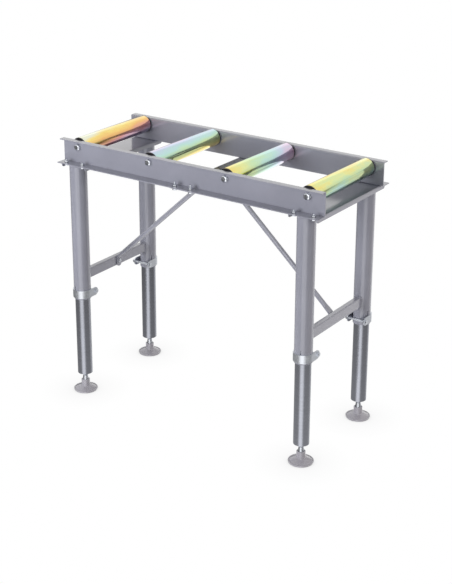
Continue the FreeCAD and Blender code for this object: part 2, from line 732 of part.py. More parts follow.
for number, step in ROLLERS:
    x = step * roller_pitch
    axle = rod(f"axle_{number}_bar", axle_radius, S.bed_width, (x, -web_inner, roller_height), "+y")
    bores = []
    caps = []
    outer_rings = []
    for side, side_sign in SIDES:
        outward = "+y" if side_sign > 0 else "-y"
        inward = OPPOSITE[outward]
        tag = f"{number}_{side}"
        bore_radius = S.axle_bolt_diameter / 2 + S.fit_gap
        bores.append(rod(f"axle_bore_{tag}", bore_radius, 1.2 * S.axle_bolt_depth,
                         (x, side_sign * web_inner, roller_height), inward))
        washer_place = (x, side_sign * web_outer, roller_height)
        washer_radius = 0.88 * S.axle_bolt_diameter
        coil = ring(f"axle_coil_{tag}", washer_radius, S.axle_bolt_diameter / 2 + S.bolt_play, S.axle_washer_sheet,
                    washer_place, outward)
        split_y = web_outer if side_sign > 0 else -web_outer - S.axle_washer_sheet
        split = block(f"axle_split_{tag}", S.axle_washer_split, S.axle_washer_sheet, washer_radius,
                      (x - S.axle_washer_split / 2, split_y, roller_height))
        axle_washers.append(cut(f"axle_washer_{tag}", coil, [split]))
        head_place = shifted(washer_place, outward, S.axle_washer_sheet)
        shank = S.axle_washer_sheet + S.rail_sheet + S.axle_bolt_depth
        axle_bolts.append(bolt(f"axle_bolt_{tag}", S.axle_bolt_diameter, shank, head_place, inward, outward))
        caps.append(end_cap(f"end_cap_{tag}", x, side_sign))
        ring_place = (x, side_sign * bearing_face, roller_height)
        outer_rings.append(ring(f"outer_ring_{tag}", bearing_outer - S.fit_gap, inner_ring_outer + S.run_gap,
                                S.bearing_width, ring_place, inward))
        inner_rings.append(ring(f"inner_ring_{tag}", inner_ring_outer, axle_radius + S.fit_gap,
                                S.bearing_width, ring_place, inward))
    node(cut(f"axle_{number}_tapped", axle, bores), f"roller_axle_{number}")
    node(ring(f"roller_{number}_shell", roller_radius, tube_bore, 2 * bearing_face,
              (x, -bearing_face, roller_height), "+y"), f"roller_tube_{number}")
    node(group(f"roller_{number}_caps", caps), f"roller_end_caps_{number}")
    node(group(f"roller_{number}_outer_rings", outer_rings), f"roller_bearings_{number}")
hardware("axle_bolts", axle_bolts)
hardware("axle_washers", axle_washers)
hardware("bearing_inner_rings", inner_rings)


# Lower legs: sliding tube with a threaded plug, stud with a collar and a ball end, and the pad it stands on
inner_bore = inner_radius - S.inner_wall
inner_length = S.sleeve_end_height - S.inner_end_height + S.inner_overlap
stud_radius = S.stud_diameter / 2
ball_radius = stud_radius + S.ball_extra
socket_radius = ball_radius + S.run_gap
ball_height = S.pad_floor + socket_radius
hub_radius = stud_radius + S.hub_wall
stud_top = S.inner_end_height + S.plug_length + S.stud_reserve


def foot_pad(label, x, y):
    body = new_body(label + "_body")
    sketch = sketch_on(body, "XZ_Plane", label + "_profile")
    rim = S.pad_diameter / 2
    rim_inner = rim - S.pad_rim_width
    groove = rim_inner - S.pad_groove
    outline(sketch, [(0, 0), (rim, 0), (rim, S.pad_rim_height), (rim_inner, S.pad_rim_height),
                     (groove, S.pad_rim_height - S.pad_groove), (hub_radius + S.pad_rounding, S.pad_cone_height),
                     (hub_radius, S.pad_cone_height + S.pad_rounding), (hub_radius, S.hub_height),
                     (0, S.hub_height)])
    base = revolved(body, sketch)
    names = edge_names(base.Shape, lambda p: near(p.z, S.pad_rim_height) and near(math.hypot(p.x, p.y), rim))
    rim_round = rounded(body, base, names, least(S.pad_rounding, 0.45 * S.pad_rim_width), label + "_rim")
    tops = edge_names(rim_round.Shape,
                      lambda p: near(p.z, S.hub_height) and near(math.hypot(p.x, p.y), hub_radius))
    rounded(body, rim_round, tops, 0.25 * S.hub_wall, label + "_hub_edge")
    seat(body, (x, y, as_size(0)))
    ball = primitive("Part::Sphere", label + "_socket", {"Radius": socket_radius}, (x, y, ball_height))
    mouth = primitive("Part::Cone", label + "_mouth",
                      {"Radius1": stud_radius + 2 * S.run_gap, "Radius2": hub_radius - 0.5 * S.hub_wall,
                       "Height": S.hub_height - ball_height}, (x, y, ball_height))
    hollow = fuse(label + "_hollow", [ball, mouth])
    node(cut(label + "_seat", body, [hollow]), label)


for side, end, x, y, side_sign in LEGS:
    tag = f"{side}_{end}"
    node(ring(f"lower_leg_{tag}_tube", inner_radius, inner_bore, inner_length, (x, y, S.inner_end_height)),
         f"lower_leg_{tag}")
    node(ring(f"leg_plug_{tag}_ring", inner_bore - S.fit_gap, stud_radius + S.run_gap, S.plug_length,
              (x, y, S.inner_end_height)), f"leg_plug_{tag}")
    foot_pad(f"foot_pad_{tag}", x, y)
    ball = primitive("Part::Sphere", f"foot_ball_{tag}", {"Radius": ball_radius}, (x, y, ball_height))
    shank = rod(f"foot_shank_{tag}", stud_radius, stud_top - ball_height, (x, y, ball_height))
    collar = primitive("Part::Cone", f"foot_collar_{tag}",
                       {"Radius1": stud_radius + S.collar_extra, "Radius2": stud_radius, "Height": S.collar_height},
                       (x, y, S.hub_height - S.collar_sink))
    node(fuse(f"foot_stud_{tag}_body", [ball, shank, collar]), f"foot_stud_{tag}")


def checked_export():
    """Stop on any broken object, then write each sub-part."""
    doc.recompute()
    for item in doc.Objects:
        if "Invalid" in item.State or "Error" in item.State:
            raise RuntimeError(f"{item.Name} did not compute: {item.State}")
    os.makedirs("parts", exist_ok=True)
    for item in NODES:
        shape = item.Shape
        if shape.isNull() or not shape.isValid() or not shape.Solids:
            raise RuntimeError(f"{item.Label} has no valid shape")
        shape.exportStep(f"parts/{item.Label}.step")


checked_export()
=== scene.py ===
import json
import math

import bmesh
import bpy
from bpy.props import FloatProperty, FloatVectorProperty, PointerProperty
from mathutils import Matrix, Vector


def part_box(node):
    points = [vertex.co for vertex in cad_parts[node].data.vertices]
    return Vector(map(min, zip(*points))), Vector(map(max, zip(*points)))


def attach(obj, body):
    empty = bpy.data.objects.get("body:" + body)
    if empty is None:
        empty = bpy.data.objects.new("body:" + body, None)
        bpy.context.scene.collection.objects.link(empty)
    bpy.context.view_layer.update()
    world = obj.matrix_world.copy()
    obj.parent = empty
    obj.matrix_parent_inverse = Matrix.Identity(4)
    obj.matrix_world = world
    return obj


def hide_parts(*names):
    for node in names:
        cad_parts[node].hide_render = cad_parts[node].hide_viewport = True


bl_info = {
    "name": "Roller conveyor dressing",
    "version": (1, 0, 0),
    "blender": (4, 5, 0),
    "location": "View3D > Sidebar > Conveyor",
    "description": "Rollers, hardware, welds and finishes for a short roller conveyor on telescopic legs",
    "category": "Object",
}

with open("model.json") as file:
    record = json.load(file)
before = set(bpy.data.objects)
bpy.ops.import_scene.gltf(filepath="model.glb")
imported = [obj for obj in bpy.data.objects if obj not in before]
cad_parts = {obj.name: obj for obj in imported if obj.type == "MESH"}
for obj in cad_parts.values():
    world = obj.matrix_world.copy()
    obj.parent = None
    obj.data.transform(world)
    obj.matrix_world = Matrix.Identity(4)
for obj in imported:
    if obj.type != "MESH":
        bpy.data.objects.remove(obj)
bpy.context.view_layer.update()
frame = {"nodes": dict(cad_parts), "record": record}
NODES = frame["nodes"]

# Places taken from the frame
CORNERS = [f"{side}_{end}" for side in ("front", "rear") for end in ("left", "right")]
ROLLERS = (1, 2, 3, 4)


def middle(node):
    """Middle of a node's box."""
    low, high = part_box(node)
    return (low + high) / 2


def half_span(node, axis):
    """Half the length of a node's box along an axis."""
    low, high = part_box(node)
    return (getattr(high, axis) - getattr(low, axis)) / 2


RAIL_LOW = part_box("front_rail")[0]
LEG_SPOT = {corner: middle(f"upper_leg_{corner}") for corner in CORNERS}
LEG_RADIUS = half_span("upper_leg_front_left", "x")
LEG_X = abs(LEG_SPOT["front_left"].x)
ROLLER_SPOT = {number: middle(f"roller_tube_{number}") for number in ROLLERS}
AXLE_HEAD = abs(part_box("axle_washers")[0].y)

# Bolt places that the frame's boxes don't give, in metres
FLANGE_EDGE = 0.016  # from the edge of a rail's lower flange to its row of bolts
HEAD_STEP = 0.034  # from the middle of a leg to the bolts beside it
CENTRE_STEP = 0.030  # from the middle of a rail to the bolts of the centre bar
EAR_EDGE = 0.009  # from the tip of a strap's ears to its cross bolt

# Proportions of the details
CHAMFER_SLOPE = math.tan(math.radians(62))  # spread of the cone that takes off a hexagon's corners
CHAMFER_FLAT = 0.37  # radius of the flat that stays on a hexagon, in key sizes
THREAD_DEPTH = 0.55  # depth of a thread, in pitches
SPARE_TURNS = 3  # turns of thread that are cut off to leave its ends square
ROOT_SHARE = 0.3  # how far a shank is sunk in its head, in head heights
SHANK_EDGE = 0.04  # chamfer at the end of an axle bolt, in diameters
ROLLED_EDGE = 0.24  # rounding at the ends of a roller tube, in walls
WASHER_EDGE = 0.16  # rounding of a spring washer, in thicknesses
COLLAR_EDGE = 0.3  # chamfer of a stud's collar, in widths of its shoulder
PAD_EDGE = 0.4  # rounding of a foot pad's rim and hub, in rim widths
SOCKET_MOUTH = 34.5  # degrees above level where the socket ends, wide enough for the stud to tilt
DOME_STEPS = 8  # facets from the rim of a foot pad to its hub

# Small lengths, in metres
MERGE = 1e-6  # points closer than this become one
CUT_SPARE = 0.001  # how far a cutting cone reaches past its hexagon
START_SIZE = 0.01  # a plane or circle before its points are placed
STRETCHER_CORNER = 0.0035  # rounding of the weld round a stretcher's end
WELD_LIFT = 0.0002  # how far that weld's middle stands off the tube
WELD_STEP = 0.0015  # longest step along a weld
RIPPLE_WIDTH = 0.006
RIPPLE_HEIGHT = 0.0012


def linear(code):
    """Linear colour of an sRGB hex value such as 9a9ca8."""
    parts = [int(code[i:i + 2], 16) / 255 for i in (0, 2, 4)]
    return tuple(p / 12.92 if p <= 0.04045 else ((p + 0.055) / 1.055) ** 2.4 for p in parts)


class ConveyorSizes(bpy.types.PropertyGroup):
    """Sizes of the details that are added to the frame"""

    bolt_thread: FloatProperty(
        name="Bolt thread", description="Outside of the M8 thread", default=0.008, unit="LENGTH")
    bolt_pitch: FloatProperty(
        name="Bolt pitch", description="Pitch of the M8 thread", default=0.00125, unit="LENGTH")
    bolt_tail: FloatProperty(
        name="Thread end", description="Thread standing out of a nut", default=0.0035, unit="LENGTH")
    centre_tail: FloatProperty(
        name="Centre thread end", description="Thread standing out of the nut of a centre bolt",
        default=0.009, unit="LENGTH")
    rail_sheet: FloatProperty(
        name="Rail sheet", description="Sheet of the rails and leg heads", default=0.003, unit="LENGTH")
    bar_sheet: FloatProperty(
        name="Bar sheet", description="Thickness of the centre bar and brace ends",
        default=0.005, unit="LENGTH")
    bolt_head: FloatProperty(
        name="Bolt head", description="Height of an M8 head", default=0.0053, unit="LENGTH")
    nut_height: FloatProperty(
        name="Nut height", description="Height of an M8 nut", default=0.0064, unit="LENGTH")
    bolt_across: FloatProperty(
        name="Bolt key size", description="M8 hexagon across flats", default=0.013, unit="LENGTH")
    axle_across: FloatProperty(
        name="Axle key size", description="M12 hexagon across flats", default=0.019, unit="LENGTH")
    axle_head: FloatProperty(
        name="Axle head", description="Height of an M12 head", default=0.0079, unit="LENGTH")
    axle_thread: FloatProperty(
        name="Axle thread", description="Shank of an axle bolt", default=0.0118, unit="LENGTH")
    axle_grip: FloatProperty(
        name="Axle grip", description="Length of an axle bolt under its head",
        default=0.030, unit="LENGTH")
    washer_sheet: FloatProperty(
        name="Washer", description="Thickness of a spring washer", default=0.0025, unit="LENGTH")
    washer_bore: FloatProperty(
        name="Washer bore", description="Radius of the washer's bore", default=0.0065, unit="LENGTH")
    washer_split: FloatProperty(
        name="Washer split", description="Gap in a spring washer", default=0.002, unit="LENGTH")
    roller_wall: FloatProperty(
        name="Roller wall", description="Wall of a roller tube", default=0.0025, unit="LENGTH")
    stud_thread: FloatProperty(
        name="Stud thread", description="Outside of the foot's thread", default=0.016, unit="LENGTH")
    stud_pitch: FloatProperty(
        name="Stud pitch", description="Pitch of the foot's thread", default=0.002, unit="LENGTH")
    collar_top: FloatProperty(
        name="Collar top", description="Top of the stud's collar above the floor",
        default=0.053, unit="LENGTH")
    collar_base: FloatProperty(
        name="Collar base", description="Base of the stud's collar above the floor",
        default=0.036, unit="LENGTH")
    collar_radius: FloatProperty(
        name="Collar radius", description="Radius of the collar's base", default=0.0104, unit="LENGTH")
    hub_radius: FloatProperty(
        name="Hub radius", description="Outside of the hub on a foot pad", default=0.0145, unit="LENGTH")
    hub_base: FloatProperty(
        name="Hub base", description="Height at which the hub leaves the pad's dome",
        default=0.0145, unit="LENGTH")
    hub_fillet: FloatProperty(
        name="Hub fillet", description="Rounding between hub and dome", default=0.0016, unit="LENGTH")
    rim_height: FloatProperty(
        name="Rim height", description="Height of the pad's rim", default=0.006, unit="LENGTH")
    rim_width: FloatProperty(
        name="Rim width", description="Width of the pad's rim", default=0.0035, unit="LENGTH")
    rim_step: FloatProperty(
        name="Rim step", description="Step inside the pad's rim", default=0.0008, unit="LENGTH")
    socket_radius: FloatProperty(
        name="Socket radius", description="Ball socket in the pad", default=0.0113, unit="LENGTH")
    socket_height: FloatProperty(
        name="Socket height", description="Middle of the ball socket above the floor",
        default=0.0153, unit="LENGTH")
    tube_wall: FloatProperty(
        name="Stretcher wall", description="Wall of the stretcher tube", default=0.002, unit="LENGTH")
    weld: FloatProperty(
        name="Weld bead", description="Radius of a weld bead", default=0.0026, unit="LENGTH")


class ConveyorColours(bpy.types.PropertyGroup):
    """Colours of the finishes"""

    paint: FloatVectorProperty(
        name="Paint", description="Blue-grey gloss paint",
        subtype="COLOR", size=3, default=linear("9193a0"))
    zinc: FloatVectorProperty(
        name="Zinc", description="Bright zinc plate",
        subtype="COLOR", size=3, default=linear("d3d6dc"))
    tube: FloatVectorProperty(
        name="Inner tube", description="Bare drawn steel of the sliding tubes",
        subtype="COLOR", size=3, default=linear("9c9ea6"))
    pad: FloatVectorProperty(
        name="Foot pad", description="Satin grey of the feet",
        subtype="COLOR", size=3, default=linear("a6a5ae"))
    cap: FloatVectorProperty(
        name="End cap", description="Black plastic of the roller ends",
        subtype="COLOR", size=3, default=linear("1b1a1c"))
    bearing: FloatVectorProperty(
        name="Bearing steel", description="Ground steel of axles and bearings",
        subtype="COLOR", size=3, default=linear("9fa0a4"))
    backdrop: FloatVectorProperty(
        name="Backdrop", description="White behind and below the conveyor",
        subtype="COLOR", size=3, default=linear("ffffff"))


def sizes():
    return bpy.context.scene.conveyor_sizes


def colours():
    return bpy.context.scene.conveyor_colours


# Node helpers
class Graph:
    """The node tree of a material or of the world."""

    def __init__(self, owner, output="ShaderNodeOutputMaterial"):
        self.owner = owner
        owner.use_nodes = True
        self.tree = owner.node_tree
        self.tree.nodes.clear()
        self.output = self.add(output)

    def add(self, kind, settings=None, stops=None, **links):
        """Add a node with its settings and ramp stops, and fill its inputs with values or sockets.

        An input goes by its name, with _ for a space, or by its number as i0, i1 and so on.
        """
        item = self.tree.nodes.new(kind)
        for name, value in (settings or {}).items():
            setattr(item, name, value)
        for key, value in links.items():
            socket = item.inputs[int(key[1:]) if key[1:].isdigit() else key.replace("_", " ")]
            if isinstance(value, bpy.types.NodeSocket):
                self.tree.links.new(value, socket)
            else:
                socket.default_value = value
        if stops:
            band = item.color_ramp.elements
            while len(band) < len(stops):
                band.new(0.5)
            for element, (place, colour) in zip(band, stops):
                element.position = place
                element.color = (*colour, 1.0)
        return item

    def close(self, shader):
        self.tree.links.new(shader.outputs[0], self.output.inputs[0])
        return self.owner


def new_finish(name):
    """Graph of a new material, and the piece's own coordinates in it."""
    graph = Graph(bpy.data.materials.new(name))
    return graph, graph.add("ShaderNodeTexCoord").outputs["Object"]


def shade(colour, factor):
    return tuple(min(1.0, part * factor) for part in colour)


# Most of a noise lies between these two values
NOISE_LOW, NOISE_HIGH = 0.3, 0.7
NOISE_SPAN = {"From_Min": NOISE_LOW, "From_Max": NOISE_HIGH}


def grained(graph, place, dark, light, **noise):
    """A noise, and the colour that drifts with it between two tones."""
    grain = graph.add("ShaderNodeTexNoise", Vector=place, **noise).outputs[0]
    stops = [(NOISE_LOW, dark), (NOISE_HIGH, light)]
    return grain, graph.add("ShaderNodeValToRGB", stops=stops, Fac=grain).outputs[0]


def gloss_paint():
    """Blue-grey gloss enamel sprayed on steel: even colour, faint orange peel, soft wide highlights."""
    graph, place = new_finish("gloss_enamel_on_steel")
    colour = colours().paint
    # Spray build-up drifts over about 150 mm; orange peel has a grain of about 1.5 mm
    drift, tone = grained(graph, place, shade(colour, 0.94), shade(colour, 1.05),
                          Scale=7.0, Detail=3.0, Roughness=0.5)
    peel = graph.add("ShaderNodeTexNoise", Vector=place, Scale=650.0, Detail=2.0, Roughness=0.5)
    bump = graph.add("ShaderNodeBump", Strength=0.05, Distance=0.0004, Height=peel.outputs[0])
    gloss = graph.add("ShaderNodeMapRange", Value=drift, **NOISE_SPAN, To_Min=0.14, To_Max=0.20)
    shader = graph.add("ShaderNodeBsdfPrincipled", Base_Color=tone, Roughness=gloss.outputs[0], IOR=1.5,
                       Coat_Weight=0.8, Coat_Roughness=0.12, Normal=bump.outputs[0])
    return graph.close(shader)


def zinc_plate(name="bright_zinc_plate", smoothest=0.32):
    """Bright zinc plate: pale bluish metal, clouded gloss, fine tool marks."""
    graph, place = new_finish(name)
    colour = colours().zinc
    # Clouds in the plating are about 6 mm wide, tool marks about 0.5 mm
    cloud, tone = grained(graph, place, shade(colour, 0.86), colour,
                          Scale=160.0, Detail=3.0, Roughness=0.6)
    gloss = graph.add("ShaderNodeMapRange", Value=cloud, **NOISE_SPAN, To_Min=smoothest,
                      To_Max=smoothest + 0.14)
    marks = graph.add("ShaderNodeTexNoise", Vector=place, Scale=2200.0, Detail=1.0)
    bump = graph.add("ShaderNodeBump", Strength=0.06, Distance=0.0002, Height=marks.outputs[0])
    shader = graph.add("ShaderNodeBsdfPrincipled", Base_Color=tone, Metallic=1.0,
                       Roughness=gloss.outputs[0], Normal=bump.outputs[0])
    return graph.close(shader)


def fastener_zinc():
    """Zinc plate on the smooth faces of bolts, nuts and washers, which shine more than bent sheet."""
    return zinc_plate("bright_zinc_fasteners", 0.17)


def polished_tube():
    """Bare steel tube, polished on a belt as it turned: fine rings and a sharp upright highlight."""
    graph, place = new_finish("belt_polished_steel")
    colour = colours().tube
    # Belt marks are 0.4 mm rings, drawn about 1.5 mm high so that they show
    squeezed = graph.add("ShaderNodeMapping", Vector=place, Scale=(6.0, 6.0, 700.0)).outputs[0]
    rings, tone = grained(graph, squeezed, shade(colour, 0.9), shade(colour, 1.06),
                          Scale=1.0, Detail=3.0, Roughness=0.6)
    bump = graph.add("ShaderNodeBump", Strength=0.04, Distance=0.0002, Height=rings)
    around = graph.add("ShaderNodeTangent", {"direction_type": "RADIAL", "axis": "Z"})
    shader = graph.add("ShaderNodeBsdfPrincipled", Base_Color=tone, Metallic=1.0, Roughness=0.26,
                       Anisotropic=0.3, Tangent=around.outputs[0], Normal=bump.outputs[0])
    return graph.close(shader)


def foot_enamel():
    """Grey enamel over a cast foot: a soft sheen and a fine sandy skin."""
    graph, place = new_finish("satin_enamel_on_casting")
    colour = colours().pad
    # Sand grain of about 2 mm
    sand, tone = grained(graph, place, shade(colour, 0.97), shade(colour, 1.02),
                         Scale=500.0, Detail=2.0, Roughness=0.5)
    bump = graph.add("ShaderNodeBump", Strength=0.01, Distance=0.0002, Height=sand)
    shader = graph.add("ShaderNodeBsdfPrincipled", Base_Color=tone, Roughness=0.26, IOR=1.5,
                       Coat_Weight=0.6, Coat_Roughness=0.18, Normal=bump.outputs[0])
    return graph.close(shader)


def cap_plastic():
    """Moulded black nylon: dull, with a fine spark-eroded grain."""
    graph, place = new_finish("moulded_nylon")
    colour = colours().cap
    # Eroded grain of about 1 mm
    grain, tone = grained(graph, place, shade(colour, 0.7), shade(colour, 1.4), Scale=900.0, Detail=2.0)
    bump = graph.add("ShaderNodeBump", Strength=0.12, Distance=0.0003, Height=grain)
    shader = graph.add("ShaderNodeBsdfPrincipled", Base_Color=tone, Roughness=0.45, IOR=1.53,
                       Normal=bump.outputs[0])
    return graph.close(shader)


def ground_steel():
    """Ground bearing steel: clean grey metal with fine marks round the axis."""
    graph, place = new_finish("ground_bearing_steel")
    colour = colours().bearing
    # Grinding marks are about 0.5 mm wide along the axis
    marks = graph.add("ShaderNodeMapping", Vector=place, Scale=(60.0, 2000.0, 60.0)).outputs[0]
    tone = grained(graph, marks, shade(colour, 0.78), shade(colour, 1.3), Scale=1.0, Detail=2.0)[1]
    shader = graph.add("ShaderNodeBsdfPrincipled", Base_Color=tone, Metallic=1.0, Roughness=0.28)
    return graph.close(shader)


# Interference colours of the film in even steps, from thin to thick
FILM = ("e6e8d2", "f2d983", "edb977", "e09f9d", "dcc0d6", "c2d0e0",
        "b9dcd3", "c5e0b4", "dfe39c", "efd376", "e8ae7c")
# For each roller: thickness at its upper left front, growth round it, growth to the rear, cloudiness
FILM_BUILD = {1: (-0.07, 0.34, 0.19, 0.10), 2: (0.43, 0.42, 0.05, 0.10),
              3: (0.90, -0.06, -0.48, 0.10), 4: (0.87, -0.26, -0.02, 0.18)}
# The tube hung in the bath by its upper left line, where the film starts, at this angle from +X
FILM_START = math.radians(118)
# Half the length over which the film grows to the rear, in metres
FILM_REACH = 0.17


def passivated_zinc(number):
    """Zinc plate under a chromate film: a mirror that the film tints gold, pink, green and lilac."""
    graph, place = new_finish(f"passivated_zinc_{number}")
    spot = ROLLER_SPOT[number]
    radius = half_span(f"roller_tube_{number}", "z")
    start, growth, run, cloudiness = FILM_BUILD[number]
    # The film drifts over about 100 mm along the tube and 30 mm round it
    stretched = graph.add("ShaderNodeMapping", Vector=place, Scale=(30.0, 10.0, 30.0),
                          Location=(number * 3.1, 0, 0))
    drift = graph.add("ShaderNodeTexNoise", Vector=stretched.outputs[0], Scale=1.0, Detail=3.0,
                      Roughness=0.6).outputs[0]
    cloud = graph.add("ShaderNodeMapRange", Value=drift, **NOISE_SPAN, To_Min=0.0, To_Max=cloudiness)
    centred = graph.add("ShaderNodeMapping", Vector=place, Location=(-spot.x, 0, -spot.z))
    across = graph.add("ShaderNodeVectorMath", {"operation": "DOT_PRODUCT"}, i0=centred.outputs[0],
                       i1=(math.cos(FILM_START), 0, math.sin(FILM_START)))
    around = graph.add("ShaderNodeMapRange", Value=across.outputs["Value"], From_Min=radius,
                       From_Max=-radius, To_Min=start - cloudiness / 2,
                       To_Max=start + growth - cloudiness / 2)
    length = graph.add("ShaderNodeSeparateXYZ", Vector=place).outputs["Y"]
    along = graph.add("ShaderNodeMapRange", Value=length, From_Min=-FILM_REACH, From_Max=FILM_REACH,
                      To_Min=0.0, To_Max=run)
    thick = graph.add("ShaderNodeMath", {"operation": "ADD"}, i0=around.outputs[0], i1=along.outputs[0])
    film = graph.add("ShaderNodeMath", {"operation": "ADD"}, i0=thick.outputs[0], i1=cloud.outputs[0])
    stops = [(step / (len(FILM) - 1), linear(code)) for step, code in enumerate(FILM)]
    tone = graph.add("ShaderNodeValToRGB", stops=stops, Fac=film.outputs[0])
    gloss = graph.add("ShaderNodeMapRange", Value=drift, **NOISE_SPAN, To_Min=0.06, To_Max=0.11)
    shader = graph.add("ShaderNodeBsdfPrincipled", Base_Color=tone.outputs[0], Metallic=1.0,
                       Roughness=gloss.outputs[0])
    return graph.close(shader)


def weld_enamel_with_painted_shade():
    """Enamelled weld bead: the same enamel, duller over a rippled bead, and darkened with painted shade
    that is deepest in the ripples' hollows.
    """
    graph, place = new_finish("enamel_on_weld_with_painted_shade")
    colour = colours().paint
    # Ripples of a weld lie about 2 mm apart; painted shade darkens the bead below the enamel's colour,
    # most in their hollows
    ripple, tone = grained(graph, place, shade(colour, 0.86), colour, Scale=420.0, Detail=2.0)
    bump = graph.add("ShaderNodeBump", Strength=0.3, Distance=0.0006, Height=ripple)
    shader = graph.add("ShaderNodeBsdfPrincipled", Base_Color=tone, Roughness=0.4, IOR=1.5,
                       Normal=bump.outputs[0])
    return graph.close(shader)


def dress(item, material):
    item.data.materials.clear()
    item.data.materials.append(material)
    for polygon in item.data.polygons:
        polygon.material_index = 0


def finish(name, maker):
    """A finish is made once and found again by its name."""
    return bpy.data.materials.get(name) or maker()


# Modelling helpers
def clear_selection():
    if bpy.context.object and bpy.context.object.mode != "OBJECT":
        bpy.ops.object.mode_set(mode="OBJECT")
    bpy.ops.object.select_all(action="DESELECT")


def take(item):
    clear_selection()
    item.select_set(True)
    bpy.context.view_layer.objects.active = item
    return item


def settle(name):
    """Name the active object and put its place into its mesh."""
    item = take(bpy.context.object)
    bpy.ops.object.transform_apply(location=True, rotation=True, scale=True)
    item.name = name
    item.data.name = name
    return item


def apply_all(item):
    take(item)
    for modifier in list(item.modifiers):
        bpy.ops.object.modifier_apply(modifier=modifier.name)


def copy_to(item, name, matrix):
    twin = item.copy()
    twin.data = item.data.copy()
    twin.name = name
    twin.data.name = name
    bpy.context.scene.collection.objects.link(twin)
    twin.data.transform(matrix)
    return twin


def joined(items, name):
    take(items[0])
    for item in items[1:]:
        item.select_set(True)
    bpy.ops.object.join()
    return settle(name)


def drop(item):
    bpy.data.objects.remove(item, do_unlink=True)


def clean(item):
    """Merge doubles, drop faces without area and turn every face outwards."""
    take(item)
    bpy.ops.object.mode_set(mode="EDIT")
    bpy.ops.mesh.select_all(action="SELECT")
    bpy.ops.mesh.remove_doubles(threshold=MERGE)
    bpy.ops.mesh.dissolve_degenerate(threshold=MERGE)
    bpy.ops.mesh.normals_make_consistent(inside=False)
    bpy.ops.object.mode_set(mode="OBJECT")


def boolean(item, cutter, operation):
    """Join or cut a piece with another, which is used up."""
    take(item)
    modifier = item.modifiers.new("cut", "BOOLEAN")
    modifier.operation = operation
    modifier.solver = "EXACT"
    modifier.object = cutter
    bpy.ops.object.modifier_apply(modifier=modifier.name)
    drop(cutter)
    clean(item)


def smooth(item, degrees):
    take(item)
    bpy.ops.object.shade_smooth_by_angle(angle=math.radians(degrees))


def round_edges(item, width, segments, degrees):
    """Bevel modifier on the edges that turn by more than an angle."""
    edges = item.modifiers.new("edges", "BEVEL")
    edges.width = width
    edges.segments = segments
    edges.limit_method = "ANGLE"
    edges.angle_limit = math.radians(degrees)


def upright(name, vertices, radius, depth, height=0.0):
    """Cylinder or prism round Z with its middle at a height."""
    clear_selection()
    bpy.ops.mesh.primitive_cylinder_add(vertices=vertices, radius=radius, depth=depth,
                                        location=(0, 0, height))
    return settle(name)


def hexagon(name, across, height, chamfers=1, bore=0.0):
    """Hexagon head or nut standing on z = 0, with the round chamfer that turning leaves on it."""
    item = upright(name, 6, across / math.sqrt(3), height, height / 2)
    flat = CHAMFER_FLAT * across
    deep = height + CUT_SPARE
    for chamfer in range(chamfers):
        clear_selection()
        bpy.ops.mesh.primitive_cone_add(vertices=48, radius1=flat + CHAMFER_SLOPE * deep, radius2=flat,
                                        depth=deep, location=(0, 0, (height - CUT_SPARE) / 2))
        cone = settle(name + "_cone")
        # The second chamfer is on the underside
        if chamfer:
            cone.data.transform(Matrix.Translation((0, 0, height)) @ Matrix.Rotation(math.pi, 4, "X"))
        boolean(item, cone, "INTERSECT")
    if bore:
        boolean(item, upright(name + "_bore", 32, bore, 3 * height, height / 2), "DIFFERENCE")
    smooth(item, 20)
    return item


def threaded(name, diameter, pitch, length, steps):
    """Threaded rod from z = 0 upwards: a V profile run round the axis, cut square at both ends."""
    clear_selection()
    bpy.ops.mesh.primitive_plane_add(size=START_SIZE)
    item = bpy.context.object
    # Three corners of the plane become the V
    bpy.ops.object.mode_set(mode="EDIT")
    mesh = bmesh.from_edit_mesh(item.data)
    mesh.verts.ensure_lookup_table()
    bpy.ops.mesh.select_all(action="DESELECT")
    mesh.verts[3].select = True
    bmesh.update_edit_mesh(item.data)
    bpy.ops.mesh.delete(type="VERT")
    mesh = bmesh.from_edit_mesh(item.data)
    ends = [vertex for vertex in mesh.verts if len(vertex.link_edges) == 1]
    crest = [vertex for vertex in mesh.verts if len(vertex.link_edges) == 2][0]
    root = diameter / 2 - THREAD_DEPTH * pitch
    ends[0].co = (root, 0, 0)
    crest.co = (diameter / 2, 0, pitch / 2)
    ends[1].co = (root, 0, pitch)
    bmesh.update_edit_mesh(item.data)
    bpy.ops.object.mode_set(mode="OBJECT")
    item = settle(name)
    screw = item.modifiers.new("thread", "SCREW")
    screw.axis = "Z"
    screw.angle = math.tau
    screw.screw_offset = pitch
    screw.iterations = int(length / pitch) + SPARE_TURNS
    screw.steps = steps
    screw.render_steps = steps
    screw.use_merge_vertices = True
    screw.merge_threshold = MERGE
    apply_all(item)
    item.data.transform(Matrix.Translation((0, 0, -SPARE_TURNS / 2 * pitch)))
    clean(item)
    bpy.ops.object.mode_set(mode="EDIT")
    bpy.ops.mesh.select_all(action="SELECT")
    bpy.ops.mesh.bisect(plane_co=(0, 0, 0), plane_no=(0, 0, 1), use_fill=True, clear_inner=True)
    bpy.ops.mesh.select_all(action="SELECT")
    bpy.ops.mesh.bisect(plane_co=(0, 0, length), plane_no=(0, 0, 1), use_fill=True, clear_outer=True)
    clean(item)
    smooth(item, 25)
    return item


def turned(name, profile, steps):
    """Body turned round Z from radius and height points that start and end on the axis."""
    clear_selection()
    bpy.ops.mesh.primitive_circle_add(vertices=len(profile), radius=START_SIZE)
    item = settle(name)
    bpy.ops.object.mode_set(mode="EDIT")
    mesh = bmesh.from_edit_mesh(item.data)
    for vertex, (radius, height) in zip(mesh.verts, profile):
        vertex.co = (radius, 0, height)
    # The edge along the axis goes, so that the profile is open there
    for edge in mesh.edges:
        edge.select_set(all(vertex.co.x == 0 for vertex in edge.verts))
    bmesh.update_edit_mesh(item.data)
    bpy.ops.mesh.delete(type="EDGE")
    bpy.ops.mesh.select_all(action="SELECT")
    bpy.ops.mesh.spin(steps=steps, angle=math.tau, center=(0, 0, 0), axis=(0, 0, 1))
    clean(item)
    smooth(item, 35)
    return item


